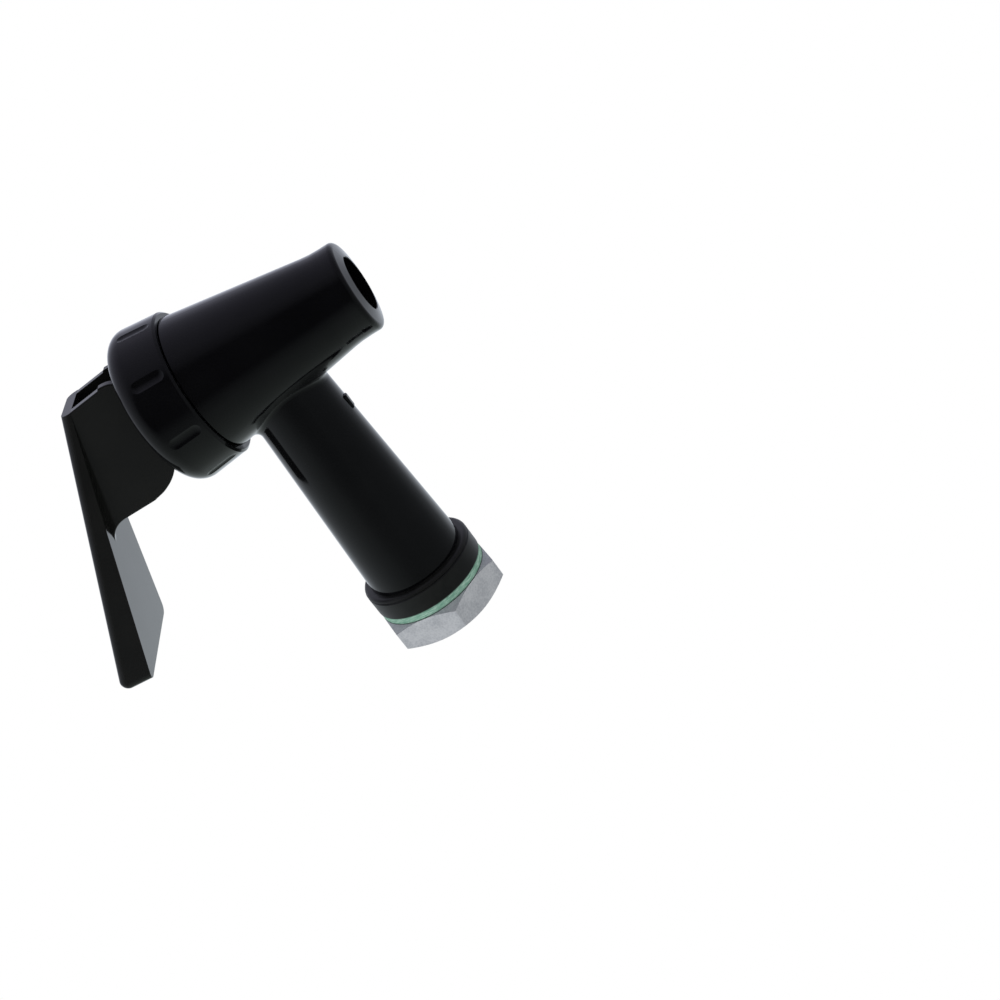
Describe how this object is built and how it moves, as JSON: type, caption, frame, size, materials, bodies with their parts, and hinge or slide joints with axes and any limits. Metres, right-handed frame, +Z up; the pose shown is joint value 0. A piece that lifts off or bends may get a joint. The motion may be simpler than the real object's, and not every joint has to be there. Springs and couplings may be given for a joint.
{
  "type": "beverage dispensing faucet",
  "caption": "Black moulded drink tap with a tapered wall shank, round spout, fluted bonnet, swivelling cam lever, and a gasket, washer and nut that clamp a tank wall.",
  "frame": {"origin": "on the shank axis, in the gasket's sealing face, where the tank wall seats", "axes": "+Y along the shank into the tank, +Z up along the body toward the bonnet and lever, X across"},
  "size_m": [0.0376, 0.0992, 0.0993],
  "materials": {
    "black_plastic": "polished moulding",
    "stem_plastic": "turned bar",
    "pin_steel": "ground",
    "spring_steel": "drawn wire",
    "silicone": "matte",
    "gasket_rubber": "matte",
    "washer_fibre": "pressed sheet",
    "nut_plating": "dull zinc plating"
  },
  "bodies": {
    "body": {"faucet_body": "black_plastic", "bonnet": "black_plastic", "shank_gasket": "gasket_rubber", "seat_cup": "silicone"},
    "swivel": {"return_spring": "spring_steel"},
    "stem": {"valve_stem": "stem_plastic", "lever_pin": "pin_steel"},
    "lever": {"lever_handle": "black_plastic"},
    "washer": {"fibre_washer": "washer_fibre"},
    "nut": {"mounting_nut": "nut_plating"}
  },
  "joints": [
    {"name": "lever_swivel", "type": "hinge", "parent": "body", "child": "swivel", "pos_m": [0, -0.0702, 0.0268], "axis": [0, 0, 1], "continuous": true},
    {"name": "stem_lift", "type": "slide", "parent": "swivel", "child": "stem", "axis": [0, 0, 1], "range_m": [0, 0.0056], "deforming": ["return_spring", "seat_cup"]},
    {"name": "lever_tilt", "type": "hinge", "parent": "stem", "child": "lever", "pos_m": [0, -0.0702, 0.03344], "axis": [-1, 0, 0], "range_deg": [0, 55], "stiffness_Nm_per_rad": 0.0471, "springref_deg": -79.01},
    {"name": "nut_travel", "type": "slide", "parent": "body", "child": "washer", "axis": [0, 1, 0], "range_m": [0, 0.0048]},
    {"name": "nut_turn", "type": "hinge", "parent": "washer", "child": "nut", "pos_m": [0, 0.0057, 0], "axis": [0, 1, 0], "range_deg": [0, 1080]}
  ],
  "couplings": [
    {"joint": "stem_lift", "follows": "lever_tilt", "m_per_rad": 0.0058},
    {"joint": "nut_travel", "follows": "nut_turn", "m_per_rad": 0.00025266}
  ]
}
